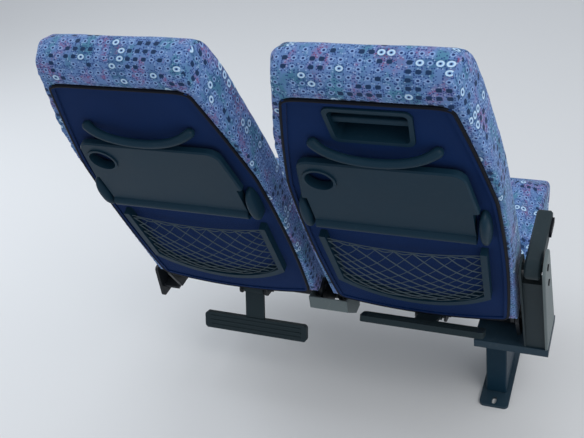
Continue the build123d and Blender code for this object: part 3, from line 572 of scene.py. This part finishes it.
# %% Woven board cloth
def woven(name, warp, weft, thread):
    material, tree = fresh_material(name)
    place = wire(tree, "ShaderNodeTexCoord").outputs["Object"]
    laid = wire(tree, "ShaderNodeMapping", {"Vector": place, "Rotation": (-back_lean, 0, 0)}).outputs[0]
    yarn = {"Vector": laid, "Scale": thread, "Distortion": 0.6, "Detail": 1.0}
    across = wire(tree, "ShaderNodeTexWave", yarn, bands_direction="X").outputs[1]
    down = wire(tree, "ShaderNodeTexWave", yarn, bands_direction="Z").outputs[1]
    cross = sums(tree, "MULTIPLY", across, down)
    cloud = wire(tree, "ShaderNodeTexNoise", {"Vector": place, "Scale": 9.0, "Detail": 5.0}).outputs[0]
    shade = ramp(tree, cloud, to_min=0.82, to_max=1.2).outputs[0]
    colour = mix(tree, cross, warp, weft)
    lit = wire(tree, "ShaderNodeHueSaturation", {"Value": shade, "Color": colour}).outputs[0]
    rough = ramp(tree, cross, to_min=0.95, to_max=0.8).outputs[0]
    return painted(tree, material, cross, (0.4, 0.0006), base_color=lit, roughness=rough,
                   sheen_weight=0.04, sheen_roughness=0.5, specular_ior_level=0.08)


print("board cloth leans by", round(back_lean, 3))

# %% A finish for every slot
finishes = {"moquette": moquette}
finishes["navy_cloth"] = woven("navy_board_cloth", (0.0012, 0.013, 0.064), (0.003, 0.034, 0.140), 260.0)
for slot, name, colour, rough, grain_scale, grain_depth, worn, coat in (
        ("grey_plastic", "tray_slate_plastic", (0.007, 0.027, 0.047), 0.42, 900.0, 0.0003,
         (0.020, 0.046, 0.064), 0.0),
        ("light_plastic", "cover_grey_plastic", (0.125, 0.155, 0.160), 0.46, 900.0, 0.0003,
         (0.20, 0.23, 0.23), 0.0),
        ("dark_plastic", "dark_moulded_plastic", (0.018, 0.030, 0.036), 0.50, 700.0, 0.0004,
         (0.035, 0.045, 0.05), 0.0),
        ("black_plastic", "black_satin_plastic", (0.003, 0.004, 0.008), 0.5, 800.0, 0.0002,
         (0.006, 0.008, 0.013), 0.0),
        ("cord", "net_cord", (0.075, 0.105, 0.125), 0.8, 1500.0, 0.0004, (0.12, 0.15, 0.17), 0.0),
        ("frame_paint", "frame_powder_coat", (0.012, 0.015, 0.019), 0.45, 420.0, 0.0003,
         (0.04, 0.04, 0.045), 0.2),
        ("leg_paint", "leg_powder_coat", (0.018, 0.040, 0.060), 0.42, 420.0, 0.0003,
         (0.06, 0.08, 0.09), 0.2)):
    finishes[slot] = grained(name, colour, rough, grain_scale, grain_depth, worn, coat)
for row in record["subparts"]:
    shown = nodes[row["node"]]
    if not shown.material_slots:
        shown.data.materials.append(None)
    for place in shown.material_slots:
        place.link = "OBJECT"
        place.material = finishes[row["material_slot"]]
print("finishes", sorted(finishes))

# %% [markdown]
# ## Sewn seams
# A trimmer sews the centre panel of a cover to its bolsters, and each seam pulls a shallow groove
# into the foam. A groove could be cut with a knife tool, but here every point near a seam line is
# pushed in by a bell curve of its distance: it is soft, follows any bulge, and needs no new faces.
# Seams follow after the air, because a remesh would wipe them out.

# %% Seam grooves
seam_depth, seam_width, seam_facing = 0.0045, 0.0045, 0.5


def press_seams(piece, centre_x, leaning, lines):
    points = coordinates(piece.data)
    out = normals(piece.data)
    down = back_axes(points)[0] if leaning else -points[:, 1]
    x = points[:, 0] - centre_x
    sink = np.zeros(len(points))
    for line in lines:
        along, across = (down, x) if line["run"] == "down" else (x, down)
        off = np.abs(across - line["at"])
        part = np.exp(-(off / seam_width) ** 2) * (along > line["from"]) * (along < line["to"])
        sink = np.maximum(sink, part)
    facing = out[:, 1] * lean_cos + out[:, 2] * lean_sin if leaning else out[:, 2]
    sink *= facing > seam_facing
    set_coordinates(piece.data, points - out * (sink * seam_depth)[:, None])


def seam_lines(half, top, bottom, crossings):
    upright = [{"run": "down", "at": side * half, "from": top, "to": bottom} for side in (-1, 1)]
    return upright + [{"run": "across", "at": at, "from": -half, "to": half} for at in crossings]


back_seams = seam_lines(0.128, 0.12, 0.74, (0.12, 0.235, 0.49, 0.74))
cushion_seams = seam_lines(0.135, -0.24, 0.10, (-0.225, -0.05))
print("seams in a back", len(back_seams), "in a cushion", len(cushion_seams))

# %% [markdown]
# ## Heads
# The real head is softer than the CAD solid: its rear edges draw in towards the top, its front
# corners are rounder and its crown runs level. A brush would do this by eye. Here three rules move
# the points, so that both heads come out alike: a taper, a rounder corner and a little filling.

# %% Shape of the head
rear_taper, taper_thick, taper_length = 0.115, 0.055, 0.18
head_half, head_corner, flank_slope = 0.163, 0.062, 0.17
front_from, front_over = 0.050, 0.035
crown_fill, crown_half, crown_depth = 0.0055, 0.140, 0.05
crown_rear, crown_front, crown_fade = 0.048, 0.078, 0.02


def bell(value, low, high, fade):
    return np.clip((value - low) / fade + 1, 0, 1) * np.clip((high - value) / fade + 1, 0, 1)


def shape_head(piece, centre_x):
    points = coordinates(piece.data)
    down, forward = back_axes(points)
    x = points[:, 0] - centre_x
    thin = np.clip(1 - forward / taper_thick, 0, 1) * np.clip(1 - down / taper_length, 0, 1)
    x = x * (1 - rear_taper * thin)
    front = np.clip((forward - front_from) / front_over, 0, 1)
    half = head_half + flank_slope * down
    corner = np.maximum(np.abs(x) - half + head_corner, 0), np.maximum(head_corner - down, 0)
    reach = np.hypot(*corner)
    past_arc = np.where(reach > head_corner, 1 - head_corner / np.maximum(reach, 1e-6), 0)
    pull = past_arc * front * (down < head_corner)
    x -= np.sign(x) * corner[0] * pull
    middle = np.clip(1 - (x / crown_half) ** 2, 0, 1) * np.clip(1 - down / crown_depth, 0, 1)
    fill = crown_fill * middle * bell(forward, crown_rear, crown_front, crown_fade)
    rise = fill - corner[1] * pull
    points[:, 0] = centre_x + x
    points[:, 1] -= rise * lean_sin
    points[:, 2] += rise * lean_cos
    set_coordinates(piece.data, points)


print("head corner mm", head_corner * 1000, "crown fill mm", crown_fill * 1000)

# %% [markdown]
# ## Backs
# The back is one stuffed pad with a hard board let into its rear. Where the board sits, the
# cover is pulled tight and can't swell, so a point's freedom grows with its distance from it.
# The tub of the recessed grip and the foot of the pad are held in the same way, and the flanks
# stop short of the armrest's stand.

# %% Back pads
board_reach, board_tight, board_ease = 0.03, 0.003, 0.018
tub_half, tub_top, tub_bottom, tub_depth = 0.086, 0.074, 0.181, 0.045
foot_s, foot_ease = 0.785, 0.02
back_cap, back_half_limit = 0.0065, 0.2175


def back_freedom(points, centre_x, board, has_tub):
    tree = BVHTree.FromPolygons([v.co[:] for v in board.vertices], [p.vertices[:] for p in board.polygons])
    near = [tree.find_nearest(Vector(p), board_reach)[3] or board_reach for p in points]
    down, forward = back_axes(points)
    freedom = np.clip((np.array(near) - board_tight) / board_ease, 0, 1)
    if has_tub:
        tub = (np.abs(points[:, 0] - centre_x) < tub_half) & (forward < tub_depth)
        freedom = np.where(tub & (down > tub_top) & (down < tub_bottom), 0.0, freedom)
    return freedom * np.clip((foot_s - down) / foot_ease, 0, 1)


for side, centre_x in seats.items():
    node = side + "_back_pad"
    pad = solid_copy(node, side + "_back_cover")
    shape_head(pad, centre_x)
    board = nodes[side + "_rear_panel"].data
    freedom = back_freedom(coordinates(pad.data), centre_x, board, side == "aisle")
    inflate(pad, freedom, back_cap)
    hold_sides(pad, centre_x, back_half_limit)
    finer(pad)
    press_seams(pad, centre_x, True, back_seams)
    lay_pattern(pad, centre_x, True)
    dress_pad(pad, node, side + "_back")

# %% [markdown]
# ## Seat cushions
# The cushion lies flat on its pan and crowns upwards. Its bottom has no freedom at all, and the
# freedom grows over its first 30 mm of height, so that the cover stays tight where it is tucked in.

# %% Cushions
cushion_base_z, cushion_ease = 0.349, 0.03
cushion_cap, cushion_half_limit = 0.010, 0.2185
for side, centre_x in seats.items():
    node = side + "_cushion"
    cushion = solid_copy(node, side + "_cushion_cover")
    freedom = np.clip((coordinates(cushion.data)[:, 2] - cushion_base_z) / cushion_ease, 0, 1)
    inflate(cushion, freedom, cushion_cap)
    hold_sides(cushion, centre_x, cushion_half_limit)
    finer(cushion)
    press_seams(cushion, centre_x, False, cushion_seams)
    lay_pattern(cushion, centre_x, False)
    dress_pad(cushion, node, "frame")

# %% [markdown]
# ## Piping
# A black piping cord covers the joint between pad and board. It could be a ring cut from the pad,
# but a curve with a round bevel is simpler: it follows the board's outline, stays equally thick
# all round, and is turned into a mesh at the end.

# %% Outline helpers
def arc_points(a, b, c, count):
    ax, ay, bx, by, cx, cy = *a, *b, *c
    d = 2 * (ax * (by - cy) + bx * (cy - ay) + cx * (ay - by))
    aa, bb, cc = ax * ax + ay * ay, bx * bx + by * by, cx * cx + cy * cy
    ux = (aa * (by - cy) + bb * (cy - ay) + cc * (ay - by)) / d
    uy = (aa * (cx - bx) + bb * (ax - cx) + cc * (bx - ax)) / d
    start, middle, end = [np.arctan2(p[1] - uy, p[0] - ux) for p in (a, b, c)]
    turn = (end - start) % (2 * pi)
    if (middle - start) % (2 * pi) > turn:
        turn -= 2 * pi
    radius = np.hypot(ax - ux, ay - uy)
    angles = [start + turn * i / count for i in range(count)]
    return [(ux + radius * np.cos(angle), uy + radius * np.sin(angle)) for angle in angles]


def tube_mesh(name, runs, radius, closed=False, sides=2, girth=None):
    curve = bpy.data.curves.new(name, "CURVE")
    curve.dimensions = "3D"
    curve.bevel_depth = radius
    curve.bevel_resolution = sides
    curve.resolution_u = 4
    curve.use_fill_caps = True
    for number, run in enumerate(runs):
        spline = curve.splines.new("NURBS")
        spline.points.add(len(run) - 1)
        for point, place in zip(spline.points, run):
            point.co = (*place, 1)
        for point, share in zip(spline.points, girth[number] if girth else []):
            point.radius = share
        spline.order_u = 3
        spline.use_cyclic_u = closed
        spline.use_endpoint_u = not closed
    drawn = link_mesh(name + "_curve", curve)
    graph = bpy.context.evaluated_depsgraph_get()
    mesh = bpy.data.meshes.new_from_object(drawn.evaluated_get(graph))
    mesh.name = name
    bpy.data.objects.remove(drawn)
    bpy.data.curves.remove(curve)
    for polygon in mesh.polygons:
        polygon.use_smooth = True
    return link_mesh(name, mesh)


def finish_riders(pieces, slot, body):
    for piece in pieces:
        piece.data.materials.append(finishes[slot])
        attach(piece, body)


print("tubes are swept as curves, then turned into meshes")

# %% Piping round each rear board
piping_r, piping_v, overhang = 0.0036, -0.0005, 0.0012
board_top, board_foot, board_belly = 0.070 - overhang, 0.772 + overhang, 0.797 + overhang
top_x, waist_x, shoulder_x, hip_x, foot_x = [x + overhang for x in (0.140, 0.172, 0.193, 0.199, 0.188)]
waist_s, shoulder_s, hip_s = 0.209, 0.320, 0.510
right_edge = [(top_x, board_top), (waist_x, waist_s), (shoulder_x, shoulder_s)]
right_low = [(shoulder_x, shoulder_s), (hip_x, hip_s), (foot_x, board_foot)]
left_low, left_edge = [[(-x, s) for x, s in run][::-1] for run in (right_low, right_edge)]
belly = [(foot_x, board_foot), (0, board_belly), (-foot_x, board_foot)]
outline = []
for arc, count in ((right_edge, 10), (right_low, 12), (belly, 14), (left_low, 12), (left_edge, 10)):
    outline += arc_points(*arc, count)
outline += [(x, board_top) for x in (-top_x, -0.07, 0.0, 0.07)]
for side, centre_x in seats.items():
    run = [back_point(centre_x + x, s, piping_v) for x, s in outline]
    piping = tube_mesh(side + "_piping", [run], piping_r, closed=True)
    finish_riders([piping], "black_plastic", side + "_back")
    print(piping.name, "points", len(run))

# %% [markdown]
# ## Pocket nets
# An elastic net is two families of cords that cross on the slant and sag between their ends. A hem
# cord holds the mouth, with a small loop for each mesh. Each cord runs where a slanted line lies
# inside the frame, then drops a little in the middle and stands off the board. Curves are chosen
# over a wireframe modifier, because each cord can then sag and have a thickness of its own.

# %% Pocket's mouth and floor
net_top_s, net_corner_s, net_sag_s, mouth_dip = 0.496, 0.652, 0.7075, 0.020
net_half = 0.1535


def pocket_floor(x):
    return net_sag_s - (net_sag_s - net_corner_s) * (x / net_half) ** 2


def mouth(x):
    return net_top_s + mouth_dip * (1 - (x / net_half) ** 2)


def across_net(step, steps):
    return -net_half + 2 * net_half * step / steps


print("pocket mouth at", mouth(0), "floor at", pocket_floor(0))

# %% One family of cords
cord_spacing, cord_steps, cord_samples = 0.0384, 7, 120
cord_sag, cord_stand, cord_belly, long_cord = 0.13, 0.0125, 0.006, 0.2
tried_each_way, past_floor = 9, 0.001


def net_runs(centre_x, slope):
    runs = []
    for number in range(-tried_each_way, tried_each_way + 1):
        kept = []
        for step in range(cord_samples + 1):
            x = across_net(step, cord_samples)
            s = mouth(0) + slope * (x - (number + 0.5) * cord_spacing)
            if mouth(x) <= s <= pocket_floor(x):
                kept.append((x, s))
        if len(kept) < cord_steps:
            continue
        (x0, s0), (x1, s1) = kept[0], kept[-1]
        length = np.hypot(x1 - x0, s1 - s0)
        run = []
        for step in range(cord_steps):
            t = step / (cord_steps - 1)
            x, s = x0 + t * (x1 - x0), s0 + t * (s1 - s0)
            bow = 4 * t * (1 - t)
            s = min(s + cord_sag * length * bow, pocket_floor(x) + past_floor)
            belly = cord_belly * bow * min(1, length / long_cord)
            run.append(back_point(centre_x + x, s, -cord_stand - belly))
        runs.append(run)
    return runs


print("cords are spaced by mm", cord_spacing * 1000)

# %% Nets and hems
cord_r, thick_share, thin_share, net_slope = 0.0010, 1.15, 0.65, 0.72
loops, loop_steps, loop_half = 8, 6, 0.0035
hem_above, loop_below, loop_stand, hem_points = 0.004, 0.0005, 0.0140, 9
for side, centre_x in seats.items():
    falling, rising = net_runs(centre_x, net_slope), net_runs(centre_x, -net_slope)
    girth = [[thick_share] * cord_steps] * len(falling) + [[thin_share] * cord_steps] * len(rising)
    net = tube_mesh(side + "_net_cords", falling + rising, cord_r, sides=1, girth=girth)
    hem_places = np.linspace(-net_half, net_half, hem_points)
    hem_run = [back_point(centre_x + x, mouth(x) - hem_above, -cord_stand) for x in hem_places]
    loop_run = []
    for step in range(loop_steps * loops + 1):
        x = across_net(step, loop_steps * loops)
        swing = loop_half * cos(2 * pi * step / loop_steps)
        loop_run.append(back_point(centre_x + x, mouth(x) + loop_below + swing, -loop_stand))
    hem = tube_mesh(side + "_net_hem", [hem_run, loop_run], cord_r, sides=1)
    finish_riders([net, hem], "cord", side + "_back")
    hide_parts(side + "_pocket_net")
    print(net.name, "cords", len(falling), len(rising))

# %% [markdown]
# ## Moulded lobes
# The tray hangs between two soft lobes on the board. Each lobe is a ball pressed into a fuller
# shape, stretched to its sizes, and cut off square where it meets the board. A ball is chosen over
# a bevelled box, because nothing on the real lobe is flat but its foot.

# %% Lobe helper
lobe_fullness = 0.82
let_in = 0.0005


def lobe_piece(name, centre_x, across, down, forward, radii):
    bm = bmesh.new()
    made = bmesh.ops.create_uvsphere(bm, u_segments=28, v_segments=18, radius=1.0)["verts"]
    for vert in made:
        x, s, v = [abs(c) ** lobe_fullness * (1 if c > 0 else -1) * r for c, r in zip(vert.co, radii)]
        vert.co = back_point(centre_x + across + x, down + s, forward + v)
    cut = bmesh.ops.bisect_plane(bm, geom=bm.verts[:] + bm.edges[:] + bm.faces[:],
                                 plane_co=back_point(centre_x, 0, let_in),
                                 plane_no=(0, lean_cos, lean_sin), clear_outer=True)
    rim = [g for g in cut["geom_cut"] if isinstance(g, bmesh.types.BMEdge)]
    bmesh.ops.contextual_create(bm, geom=rim)
    bmesh.ops.recalc_face_normals(bm, faces=bm.faces)
    mesh = bpy.data.meshes.new(name)
    bm.to_mesh(mesh)
    bm.free()
    for polygon in mesh.polygons:
        polygon.use_smooth = len(polygon.vertices) < 5
    return link_mesh(name, mesh)


print("lobes are let into the board by mm", let_in * 1000)

# %% [markdown]
# ## Grab handles
# The grab handle is one moulded bow: even in its middle, full near its ends, and rounded off where
# it meets the board. A bent cylinder would be even all along, so a curve is swept with a radius at
# each point. The points lie closer together towards the ends, where the radius changes fast.

# %% Handle helper
handle_half, handle_end_s, handle_drop = 0.1165, 0.1695, 0.0315
handle_end_v, handle_stand, handle_r = -0.0035, 0.018, 0.0085
flare, round_from, round_over, round_share = 0.3, 0.93, 0.07, 0.8
half_steps = 14


def handle_piece(name, centre_x):
    run, girth = [], []
    for step in range(-half_steps, half_steps + 1):
        u = sin(pi / 2 * step / half_steps)
        s = handle_end_s + handle_drop * (1 - u * u)
        v = handle_end_v - handle_stand * (1 - abs(u) ** 5)
        run.append(back_point(centre_x + handle_half * u, s, v))
        rounding = max(0, (abs(u) - round_from) / round_over) ** 3
        girth.append((1 + flare * abs(u) ** 6) * (1 - rounding * round_share))
    return tube_mesh(name, [run], handle_r, sides=5, girth=[girth])


print("handles are wide in mm", handle_half * 2000)

# %% Lobes and handle of each seat
lobe_x, lobe_s, lobe_v, lobe_radii = 0.1712, 0.393, -0.006, (0.0112, 0.047, 0.026)
for side, centre_x in seats.items():
    pieces = []
    for hand, sign in (("left", -1), ("right", 1)):
        name = side + "_tray_lobe_" + hand
        ear = lobe_piece(name, centre_x, sign * lobe_x, lobe_s, lobe_v, lobe_radii)
        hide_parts(side + "_tray_ear_" + hand)
        pieces.append(ear)
    handle = handle_piece(side + "_handle", centre_x)
    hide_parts(side + "_grab_handle")
    pieces.append(handle)
    finish_riders(pieces, "grey_plastic", side + "_back")
    print([(piece.name, len(piece.data.polygons)) for piece in pieces])
